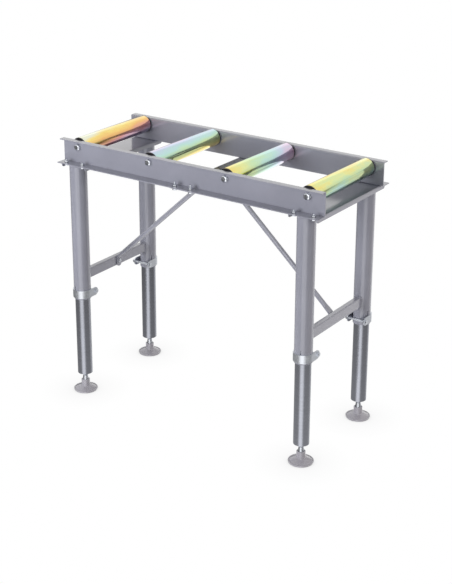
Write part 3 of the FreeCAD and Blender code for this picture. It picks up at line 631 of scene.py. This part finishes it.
def arc(centre, radius, start, end, count):
    """Points on an arc, angles in degrees."""
    angles = [math.radians(start + (end - start) * step / count) for step in range(count + 1)]
    return [(centre[0] + radius * math.cos(angle), centre[1] + radius * math.sin(angle))
            for angle in angles]


def bolt(name, reach):
    """M8 bolt: hexagon head standing on z = 0 and a thread that reaches down from it."""
    size = sizes()
    root = ROOT_SHARE * size.bolt_head
    model = hexagon(name, size.bolt_across, size.bolt_head)
    rod = threaded(name + "_rod", size.bolt_thread, size.bolt_pitch, reach + root, 16)
    rod.data.transform(Matrix.Translation((0, 0, root)) @ Matrix.Rotation(math.pi, 4, "X"))
    boolean(model, rod, "UNION")
    smooth(model, 25)
    return model


def nut(name):
    """M8 nut standing on z = 0."""
    size = sizes()
    return hexagon(name, size.bolt_across, size.nut_height, chamfers=2, bore=size.bolt_thread / 2)


def aimed(way, spot):
    """Matrix that takes local +Z to the way and the origin to the spot."""
    return Matrix.Translation(spot) @ Vector(way).to_track_quat("Z", "Y").to_matrix().to_4x4()


def place_set(name, sets, node):
    """Zinc-plated copies of each model at its spots and ways, joined to stand for a node."""
    copies = []
    for model, spots in sets:
        copies += [copy_to(model, f"{name}_copy", aimed(way, spot)) for spot, way in spots]
        drop(model)
    item = joined(copies, name)
    dress(item, finish("bright_zinc_fasteners", fastener_zinc))
    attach(item, "frame")
    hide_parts(node)


class CONVEYOR_OT_finishes(bpy.types.Operator):
    """Paint and plate the pieces that keep their built shape"""

    bl_idname = "conveyor.finishes"
    bl_label = "Finishes"

    def execute(self, context):
        zinc = finish("bright_zinc_plate", zinc_plate)
        by_slot = {
            "grey_paint": finish("gloss_enamel_on_steel", gloss_paint),
            "bright_zinc": zinc,
            "dark_steel": finish("belt_polished_steel", polished_tube),
            "stud_steel": zinc,
            "foot_grey": finish("satin_enamel_on_casting", foot_enamel),
            "yellow_zinc": zinc,
            "black_plastic": finish("moulded_nylon", cap_plastic),
            "bearing_steel": finish("ground_bearing_steel", ground_steel),
        }
        for part in frame["record"]["subparts"]:
            dress(NODES[part["node"]], by_slot[part["material_slot"]])
        return {"FINISHED"}


class CONVEYOR_OT_rollers(bpy.types.Operator):
    """Roller tubes with rounded ends and passivated zinc"""

    bl_idname = "conveyor.rollers"
    bl_label = "Rollers"

    def execute(self, context):
        wall = sizes().roller_wall
        for number in ROLLERS:
            low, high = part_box(f"roller_tube_{number}")
            clear_selection()
            bpy.ops.mesh.primitive_cylinder_add(
                vertices=144, radius=(high.z - low.z) / 2, depth=high.y - low.y, end_fill_type="NOTHING",
                location=ROLLER_SPOT[number], rotation=(math.pi / 2, 0, 0))
            item = settle(f"roller_shell_{number}")
            shell = item.modifiers.new("wall", "SOLIDIFY")
            shell.thickness = wall
            shell.offset = -1
            round_edges(item, ROLLED_EDGE * wall, 3, 40)
            apply_all(item)
            smooth(item, 35)
            dress(item, finish(f"passivated_zinc_{number}", lambda: passivated_zinc(number)))
            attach(item, f"roller_{number}")
            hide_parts(f"roller_tube_{number}")
        return {"FINISHED"}


class CONVEYOR_OT_axle_bolts(bpy.types.Operator):
    """Hexagon bolts and spring washers at the roller axles"""

    bl_idname = "conveyor.axle_bolts"
    bl_label = "Axle bolts"

    def execute(self, context):
        spots = []
        washers = []
        for centre in ROLLER_SPOT.values():
            for side in (-1, 1):
                way = (0, side, 0)
                seat = AXLE_HEAD - sizes().washer_sheet
                washers.append((Vector((centre.x, side * seat, centre.z)), way))
                spots.append((Vector((centre.x, side * AXLE_HEAD, centre.z)), way))
        place_set("axle_bolt_pieces", [(self.axle_bolt(), spots)], "axle_bolts")
        place_set("axle_washer_pieces", [(self.washer(), washers)], "axle_washers")
        return {"FINISHED"}

    @staticmethod
    def axle_bolt():
        """M12 bolt: hexagon head standing on z = 0 and a smooth shank below it."""
        size = sizes()
        item = hexagon("axle_bolt_model", size.axle_across, size.axle_head)
        edge = SHANK_EDGE * size.axle_thread
        radius = size.axle_thread / 2
        tip = -size.axle_grip
        root = ROOT_SHARE * size.axle_head
        profile = [(0, tip), (radius - edge, tip), (radius, tip + edge), (radius, root), (0, root)]
        boolean(item, turned("axle_bolt_shank", profile, 40), "UNION")
        smooth(item, 25)
        return item

    @staticmethod
    def washer():
        """Spring washer standing on z = 0: a ring cut open on one side."""
        size = sizes()
        outside = half_span("axle_washers", "z")
        deep = 4 * size.washer_sheet
        item = upright("axle_washer_model", 48, outside, size.washer_sheet, size.washer_sheet / 2)
        boolean(item, upright("axle_washer_bore", 48, size.washer_bore, deep), "DIFFERENCE")
        clear_selection()
        bpy.ops.mesh.primitive_cube_add(size=1, location=(0, outside, 0),
                                        scale=(size.washer_split, 2 * outside, deep))
        boolean(item, settle("axle_washer_split"), "DIFFERENCE")
        round_edges(item, WASHER_EDGE * size.washer_sheet, 2, 30)
        apply_all(item)
        clean(item)
        smooth(item, 32)
        return item


class CONVEYOR_OT_rail_bolts(bpy.types.Operator):
    """Bolts and nuts through the lower flanges of the rails"""

    bl_idname = "conveyor.rail_bolts"
    bl_label = "Rail bolts"

    def execute(self, context):
        size = sizes()
        base = RAIL_LOW.z
        row = abs(RAIL_LOW.y) - FLANGE_EDGE
        head_x = [end * LEG_X + step for end in (-1, 1) for step in (-HEAD_STEP, HEAD_STEP)]
        sets = []
        nuts = []
        for places, under, tail in ((head_x, size.rail_sheet, size.bolt_tail),
                                    ((-CENTRE_STEP, CENTRE_STEP), size.bar_sheet, size.centre_tail)):
            points = [(x, side * row) for x in places for side in (-1, 1)]
            model = bolt("rail_bolt_model", under + size.rail_sheet + size.nut_height + tail)
            sets.append((model, [(Vector((x, y, base - under)), (0, 0, -1)) for x, y in points]))
            nuts += [(Vector((x, y, base + size.rail_sheet)), (0, 0, 1)) for x, y in points]
        place_set("rail_bolt_pieces", sets, "rail_bolts")
        place_set("rail_nut_pieces", [(nut("rail_nut_model"), nuts)], "rail_nuts")
        return {"FINISHED"}


class CONVEYOR_OT_clamp_bolts(bpy.types.Operator):
    """Cross bolts and nuts that close the clamp straps"""

    bl_idname = "conveyor.clamp_bolts"
    bl_label = "Clamp bolts"

    def execute(self, context):
        bolts = []
        nuts = []
        for corner in CORNERS:
            low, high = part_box(f"clamp_strap_{corner}")
            inward = -1 if LEG_SPOT[corner].y > 0 else 1
            y = (high.y if inward > 0 else low.y) - inward * EAR_EDGE
            z = (low.z + high.z) / 2
            bolts.append((Vector((high.x, y, z)), (1, 0, 0)))
            nuts.append((Vector((low.x, y, z)), (-1, 0, 0)))
        reach = high.x - low.x + sizes().nut_height + sizes().bolt_tail
        place_set("clamp_bolt_pieces", [(bolt("clamp_bolt_model", reach), bolts)], "clamp_bolts")
        place_set("clamp_nut_pieces", [(nut("clamp_nut_model"), nuts)], "clamp_nuts")
        return {"FINISHED"}


class CONVEYOR_OT_brace_bolts(bpy.types.Operator):
    """Bolts and nuts at the ends of the two braces"""

    bl_idname = "conveyor.brace_bolts"
    bl_label = "Brace bolts"

    def execute(self, context):
        size = sizes()
        lower = []
        nuts = []
        for end, sign in (("left", -1), ("right", 1)):
            low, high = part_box(f"{end}_stretcher")
            z = (low.z + high.z) / 2
            inner = high.x if sign < 0 else low.x
            lower.append((Vector((inner - sign * size.bar_sheet, 0, z)), (-sign, 0, 0)))
            nuts.append((Vector((inner + sign * size.tube_wall, 0, z)), (sign, 0, 0)))
        # One bolt goes down through the centre bar and both upper brace ends
        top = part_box("centre_bar")[1].z
        stack = 3 * size.bar_sheet
        nuts.append((Vector((0, 0, top - stack)), (0, 0, -1)))
        past = size.nut_height + size.bolt_tail
        sets = [(bolt("brace_bolt_lower", size.bar_sheet + size.tube_wall + past), lower),
                (bolt("brace_bolt_upper", stack + past), [(Vector((0, 0, top)), (0, 0, 1))])]
        place_set("brace_bolt_pieces", sets, "brace_bolts")
        place_set("brace_nut_pieces", [(nut("brace_nut_model"), nuts)], "brace_nuts")
        return {"FINISHED"}


class CONVEYOR_OT_foot_studs(bpy.types.Operator):
    """Threaded studs with a collar and a ball end for the levelling feet"""

    bl_idname = "conveyor.foot_studs"
    bl_label = "Foot studs"

    def execute(self, context):
        size = sizes()
        low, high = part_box(f"foot_stud_{CORNERS[0]}")
        model = turned("foot_stud_model", self.profile((high.x - low.x) / 2, low.z), 56)
        # The thread starts one pitch inside the collar
        start = size.collar_top - size.stud_pitch
        rod = threaded("foot_stud_rod", size.stud_thread, size.stud_pitch,
                       high.z - size.collar_top + size.stud_pitch, 28)
        rod.data.transform(Matrix.Translation((0, 0, start)))
        boolean(model, rod, "UNION")
        smooth(model, 25)
        for corner in CORNERS:
            spot = LEG_SPOT[corner]
            item = copy_to(model, f"threaded_stud_{corner}", Matrix.Translation((spot.x, spot.y, 0)))
            dress(item, finish("bright_zinc_plate", zinc_plate))
            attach(item, f"stud_{corner}")
            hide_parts(f"foot_stud_{corner}")
        drop(model)
        return {"FINISHED"}

    @staticmethod
    def profile(ball, bottom):
        """From the bottom of the ball over the neck to the top of the collar."""
        size = sizes()
        neck = size.stud_thread / 2
        edge = COLLAR_EDGE * (size.collar_radius - neck)
        points = arc((0, bottom + ball), ball, -90, math.degrees(math.acos(neck / ball)), 14)
        points[0] = (0, bottom)
        points += [(neck, size.collar_base), (size.collar_radius - edge, size.collar_base),
                   (size.collar_radius, size.collar_base + edge), (neck, size.collar_top),
                   (0, size.collar_top)]
        return points


class CONVEYOR_OT_foot_pads(bpy.types.Operator):
    """Cast feet with a rounded rim, a shallow dome and a hub for the ball"""

    bl_idname = "conveyor.foot_pads"
    bl_label = "Foot pads"

    def execute(self, context):
        low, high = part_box(f"foot_pad_{CORNERS[0]}")
        model = turned("foot_pad_model", self.profile((high.x - low.x) / 2, high.z), 96)
        for corner in CORNERS:
            spot = LEG_SPOT[corner]
            item = copy_to(model, f"cast_foot_{corner}", Matrix.Translation((spot.x, spot.y, 0)))
            dress(item, finish("satin_enamel_on_casting", foot_enamel))
            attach(item, f"pad_{corner}")
            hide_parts(f"foot_pad_{corner}")
        drop(model)
        return {"FINISHED"}

    @staticmethod
    def profile(rim, top):
        """From the underside round the rim and over the hub to the bottom of the socket."""
        size = sizes()
        edge = PAD_EDGE * size.rim_width
        step_in = rim - size.rim_width - size.rim_step
        foot = Vector((step_in, size.rim_height - size.rim_step))
        hub = Vector((size.hub_radius + size.hub_fillet, size.hub_base))
        bend = (foot + hub) / 2 + Vector((0, size.rim_step))
        shares = [step / DOME_STEPS for step in range(DOME_STEPS)]
        dome = [foot * (1 - t) ** 2 + bend * 2 * t * (1 - t) + hub * t ** 2 for t in shares]
        socket = arc((0, size.socket_height), size.socket_radius, SOCKET_MOUTH, -90, 10)
        points = [(0, 0), (rim - edge, 0)]
        points += arc((rim - edge, size.rim_height - edge), edge, 0, 90, 5)
        points.append((rim - size.rim_width, size.rim_height))
        points += [tuple(point) for point in dome]
        points += arc((hub.x, hub.y + size.hub_fillet), size.hub_fillet, 270, 180, 5)
        points += arc((size.hub_radius - edge, top - edge), edge, 0, 90, 5)
        points.append((size.socket_radius, top))
        points += socket[:-1]
        points.append((0, size.socket_height - size.socket_radius))
        return points


class CONVEYOR_OT_welds(bpy.types.Operator):
    """Weld beads at the leg heads and stretchers"""

    bl_idname = "conveyor.welds"
    bl_label = "Welds"

    def execute(self, context):
        grain = bpy.data.textures.new("weld_ripple", "CLOUDS")
        grain.noise_scale = RIPPLE_WIDTH
        grain.noise_depth = 1
        for corner in CORNERS:
            spot = LEG_SPOT[corner]
            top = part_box(f"upper_leg_{corner}")[1].z
            clear_selection()
            bpy.ops.mesh.primitive_torus_add(major_radius=LEG_RADIUS, minor_radius=sizes().weld,
                                             major_segments=120, minor_segments=12,
                                             location=(spot.x, spot.y, top))
            self.ripple(settle(f"head_weld_{corner}"), grain)
        for end in ("left", "right"):
            for side, corner in ((-1, f"front_{end}"), (1, f"rear_{end}")):
                self.ripple(self.stretcher_bead(end, side, corner), grain)
        return {"FINISHED"}

    def stretcher_bead(self, end, side, corner):
        """Bead round the end of a stretcher, laid on the round of the leg tube."""
        low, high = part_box(f"{end}_stretcher")
        spot = LEG_SPOT[corner]
        name = f"stretcher_weld_{corner}"
        curve = bpy.data.curves.new(name, "CURVE")
        curve.dimensions = "3D"
        curve.bevel_depth = sizes().weld
        curve.bevel_resolution = 3
        line = curve.splines.new("POLY")
        points = self.round_path((high.x - low.x) / 2, low.z, high.z)
        line.points.add(len(points) - 1)
        for point, (u, z) in zip(line.points, points):
            depth = math.sqrt((LEG_RADIUS + WELD_LIFT) ** 2 - u * u)
            point.co = (spot.x + u, spot.y - side * depth, z, 1)
        line.use_cyclic_u = True
        item = bpy.data.objects.new(name, curve)
        bpy.context.scene.collection.objects.link(item)
        take(item)
        bpy.ops.object.convert(target="MESH")
        return settle(name)

    @staticmethod
    def round_path(half, low, high):
        """Points in small steps round a rectangle with rounded corners."""
        right = half - STRETCHER_CORNER
        lower = low + STRETCHER_CORNER
        upper = high - STRETCHER_CORNER
        points = []
        for centre, start in (((right, lower), -90), ((right, upper), 0),
                              ((-right, upper), 90), ((-right, lower), 180)):
            points += arc(centre, STRETCHER_CORNER, start, start + 90, 6)
        dense = []
        for (u, z), (u2, z2) in zip(points, points[1:] + points[:1]):
            count = max(1, int(math.hypot(u2 - u, z2 - z) / WELD_STEP))
            dense += [(u + (u2 - u) * i / count, z + (z2 - z) * i / count) for i in range(count)]
        return dense

    @staticmethod
    def ripple(item, grain):
        """Ripple a bead's surface and give it the weld enamel with its painted shade."""
        wave = item.modifiers.new("ripple", "DISPLACE")
        wave.texture = grain
        wave.texture_coords = "LOCAL"
        wave.strength = RIPPLE_HEIGHT
        wave.mid_level = 0.5
        apply_all(item)
        smooth(item, 60)
        dress(item, finish("enamel_on_weld_with_painted_shade", weld_enamel_with_painted_shade))
        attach(item, "frame")


# Soft lamp panels: place in metres, power in watts, colour; their size and the point that they face
LAMPS = {
    "front_panel": ((-1.05, -3.2, 1.35), 94.0, (1.0, 0.985, 0.985)),
    "side_panel": ((4.0, 1.3, 1.6), 72.0, (1.0, 0.93, 0.86)),
    "rear_panel": ((0.8, 4.6, 1.6), 36.0, (1.0, 1.0, 1.0)),
}
PANEL_SIZE = (2.2, 2.0)
PANEL_AIM = (0.0, 0.0, 0.5)
# Light of the room that metal mirrors, from straight down (0) to straight up (1)
ROOM = [(0.05, 0.85), (0.22, 0.80), (0.29, 0.40), (0.34, 0.17),
        (0.47, 0.11), (0.51, 0.40), (0.57, 0.92), (0.75, 1.05)]
# Panels that only mirrors see: way to the middle, cosines at the edge and at full light, light
UPRIGHT_PANEL = ((0.326, -0.946, 0.0), 0.82, 0.975, 1.3)  # in front, a little left of the camera
FAR_WALL = ((-0.54, 0.77, 0.33), 0.90, 0.98, 0.2)
REAR_PANEL = ((-0.17, 0.96, -0.22), 0.84, 0.97, 0.75)  # low, mirrored by the rear of the conveyor
END_PANEL = ((0.50, 0.84, -0.21), 0.945, 0.985, 0.65)  # low past the right end, for the last roller
# Light of the walls and of the warmer, darker ceiling, so that tops stay darker than sides
WALLS = (0.50, 0.50, 0.50)
CEILING = (0.16, 0.145, 0.135)
# Floor, and how far its shadow reaches round what stands on it, in metres
FLOOR_SIZE = 60.0
SHADOW_REACH = 0.15
# Camera: place in metres, turns in degrees, lens and sensor in millimetres
CAMERA_SPOT = (2.3226, -3.3291, 2.0991)
CAMERA_YAW, CAMERA_DIP, CAMERA_ROLL = 34.596, 19.246, 0.193
CAMERA_LENS, CAMERA_SENSOR = 81.43, 36.0
CAMERA_SHIFT = -0.1336


class CONVEYOR_OT_stage(bpy.types.Operator):
    """Floor, soft studio light and the camera"""

    bl_idname = "conveyor.stage"
    bl_label = "Stage"

    def execute(self, context):
        scene = context.scene
        scene.view_settings.view_transform = "Standard"
        self.floor()
        self.world(scene)
        for name, (spot, power, colour) in LAMPS.items():
            self.lamp(name, spot, power, colour)
        self.camera(scene)
        return {"FINISHED"}

    def floor(self):
        """White paper that mirrors don't see."""
        clear_selection()
        bpy.ops.mesh.primitive_plane_add(size=FLOOR_SIZE, location=(0, 0, 0))
        item = settle("paper_floor")
        graph = Graph(bpy.data.materials.new("white_paper"))
        # Paper to the light, but to the camera a clear sheet over the white backdrop that keeps only
        # the soft shadow, so that legs let out below floor level stay in sight
        path = graph.add("ShaderNodeLightPath")
        paper = graph.add("ShaderNodeBsdfDiffuse", Color=(0.8, 0.8, 0.8, 1.0))
        near = graph.add("ShaderNodeAmbientOcclusion", {"samples": 16}, Distance=SHADOW_REACH)
        lit = graph.add("ShaderNodeMapRange", Value=near.outputs["AO"], From_Min=0.3, To_Min=0.72)
        sheet = graph.add("ShaderNodeBsdfTransparent", Color=lit.outputs[0])
        mix = graph.add("ShaderNodeMixShader", i0=path.outputs["Is Camera Ray"], i1=paper.outputs[0],
                        i2=sheet.outputs[0])
        dress(item, graph.close(mix))
        # Mirrored rays find the studio below the floor, so that paper doesn't bleach the metal
        item.visible_glossy = False

    def world(self, scene):
        """White to the camera, a soft grey for shading, and a studio of panels for what is mirrored."""
        scene.world = bpy.data.worlds.new("studio")
        graph = Graph(scene.world, "ShaderNodeOutputWorld")
        way = graph.add("ShaderNodeTexCoord").outputs["Generated"]
        height = graph.add("ShaderNodeSeparateXYZ", Vector=way).outputs["Z"]
        # Room seen in mirrors: pale ceiling, dark low walls, floor close by
        rise = graph.add("ShaderNodeMapRange", Value=height, From_Min=-1.0, From_Max=1.0).outputs[0]
        room = graph.add("ShaderNodeValToRGB", stops=[(place, (light,) * 3) for place, light in ROOM],
                         Fac=rise)
        # The upright panel is the same at every height, so it reads the level part of the way
        flat = graph.add("ShaderNodeVectorMath", {"operation": "MULTIPLY"}, i0=way, i1=(1.0, 1.0, 0.0))
        level = graph.add("ShaderNodeVectorMath", {"operation": "NORMALIZE"}, i0=flat.outputs[0])
        mirrored = room.outputs[0]
        for ray, (aim, edge, full, light) in ((level.outputs[0], UPRIGHT_PANEL), (way, FAR_WALL),
                                              (way, REAR_PANEL), (way, END_PANEL)):
            facing = graph.add("ShaderNodeVectorMath", {"operation": "DOT_PRODUCT"}, i0=ray, i1=aim)
            glow = graph.add("ShaderNodeMapRange", {"interpolation_type": "SMOOTHSTEP"},
                             Value=facing.outputs["Value"], From_Min=edge, From_Max=full,
                             To_Min=0.0, To_Max=light)
            mirrored = graph.add("ShaderNodeVectorMath", {"operation": "ADD"}, i0=mirrored,
                                 i1=glow.outputs[0]).outputs[0]
        sky = graph.add("ShaderNodeValToRGB", stops=[(0.0, WALLS), (1.0, CEILING)], Fac=height)
        soft = graph.add("ShaderNodeBackground", Color=sky.outputs[0], Strength=1.0)
        studio = graph.add("ShaderNodeBackground", Color=mirrored, Strength=1.0)
        white = graph.add("ShaderNodeBackground", Color=(*colours().backdrop, 1.0), Strength=1.0)
        path = graph.add("ShaderNodeLightPath")
        shaded = graph.add("ShaderNodeMixShader", i0=path.outputs["Is Glossy Ray"], i1=soft.outputs[0],
                           i2=studio.outputs[0])
        graph.close(graph.add("ShaderNodeMixShader", i0=path.outputs["Is Camera Ray"],
                              i1=shaded.outputs[0], i2=white.outputs[0]))

    def lamp(self, name, spot, power, colour):
        """Soft panel that lights the conveyor from a spot, out of sight of mirrors."""
        data = bpy.data.lights.new(name, "AREA")
        data.shape = "RECTANGLE"
        data.size, data.size_y = PANEL_SIZE
        data.energy = power
        data.color = colour
        item = bpy.data.objects.new(name, data)
        bpy.context.scene.collection.objects.link(item)
        item.visible_glossy = False
        item.location = spot
        item.rotation_euler = (Vector(PANEL_AIM) - Vector(spot)).to_track_quat("-Z", "Y").to_euler()

    def camera(self, scene):
        data = bpy.data.cameras.new("photo_camera")
        data.sensor_width = CAMERA_SENSOR
        data.lens = CAMERA_LENS
        data.shift_y = CAMERA_SHIFT
        data.clip_end = 100.0
        item = bpy.data.objects.new("photo_camera", data)
        scene.collection.objects.link(item)
        item.location = CAMERA_SPOT
        yaw = Matrix.Rotation(math.radians(CAMERA_YAW), 3, "Z")
        tilt = Matrix.Rotation(math.radians(90 - CAMERA_DIP), 3, "X")
        roll = Matrix.Rotation(math.radians(CAMERA_ROLL), 3, "Z")
        item.rotation_euler = (yaw @ tilt @ roll).to_euler()
        scene.camera = item


class CONVEYOR_PT_panel(bpy.types.Panel):
    """Lists the conveyor's operators"""

    bl_label = "Roller conveyor"
    bl_idname = "CONVEYOR_PT_panel"
    bl_space_type = "VIEW_3D"
    bl_region_type = "UI"
    bl_category = "Conveyor"

    def draw(self, context):
        for operator in OPERATORS:
            self.layout.operator(operator.bl_idname)
        for group in (context.scene.conveyor_sizes, context.scene.conveyor_colours):
            for name in type(group).__annotations__:
                self.layout.prop(group, name)


OPERATORS = (
    CONVEYOR_OT_finishes,
    CONVEYOR_OT_rollers,
    CONVEYOR_OT_axle_bolts,
    CONVEYOR_OT_rail_bolts,
    CONVEYOR_OT_clamp_bolts,
    CONVEYOR_OT_brace_bolts,
    CONVEYOR_OT_foot_studs,
    CONVEYOR_OT_foot_pads,
    CONVEYOR_OT_welds,
    CONVEYOR_OT_stage,
)
CLASSES = (ConveyorSizes, ConveyorColours) + OPERATORS + (CONVEYOR_PT_panel,)


def register():
    for item in CLASSES:
        bpy.utils.register_class(item)
    bpy.types.Scene.conveyor_sizes = PointerProperty(type=ConveyorSizes)
    bpy.types.Scene.conveyor_colours = PointerProperty(type=ConveyorColours)


def unregister():
    del bpy.types.Scene.conveyor_colours
    del bpy.types.Scene.conveyor_sizes
    for item in reversed(CLASSES):
        bpy.utils.unregister_class(item)


def main():
    register()
    bpy.ops.conveyor.finishes()
    bpy.ops.conveyor.rollers()
    bpy.ops.conveyor.axle_bolts()
    bpy.ops.conveyor.rail_bolts()
    bpy.ops.conveyor.clamp_bolts()
    bpy.ops.conveyor.brace_bolts()
    bpy.ops.conveyor.foot_studs()
    bpy.ops.conveyor.foot_pads()
    bpy.ops.conveyor.welds()
    bpy.ops.conveyor.stage()


if __name__ == "__main__":
    main()
